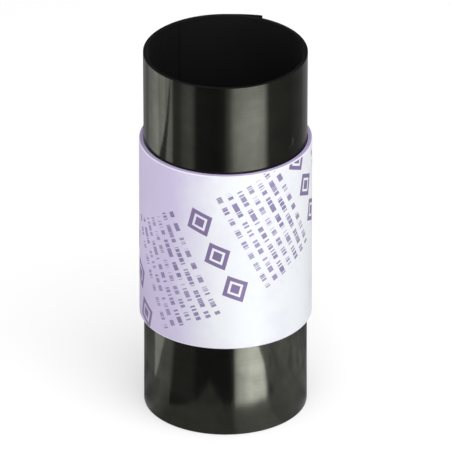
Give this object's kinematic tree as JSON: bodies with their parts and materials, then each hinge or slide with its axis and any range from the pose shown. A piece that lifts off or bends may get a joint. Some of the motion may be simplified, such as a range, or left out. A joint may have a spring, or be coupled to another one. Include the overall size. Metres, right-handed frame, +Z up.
{
  "type": "roll of shim stock",
  "caption": "Coil of thin dark steel shim strip standing on end, held closed round its middle by a paperboard sleeve.",
  "frame": {"origin": "centre of the bottom end, on the floor that the roll stands on", "axes": "+Z up the bore; the picture looks along +Y from the front, with +X to its right, and the outer free edge points to the back right, at 65 degrees from +X"},
  "size_m": [0.0676, 0.0676, 0.1524],
  "materials": {
    "steel_strip": "polished",
    "sleeve_board": "satin"
  },
  "bodies": {
    "root": {"shim_coil": "steel_strip", "paper_sleeve": "sleeve_board"}
  },
  "joints": []
}
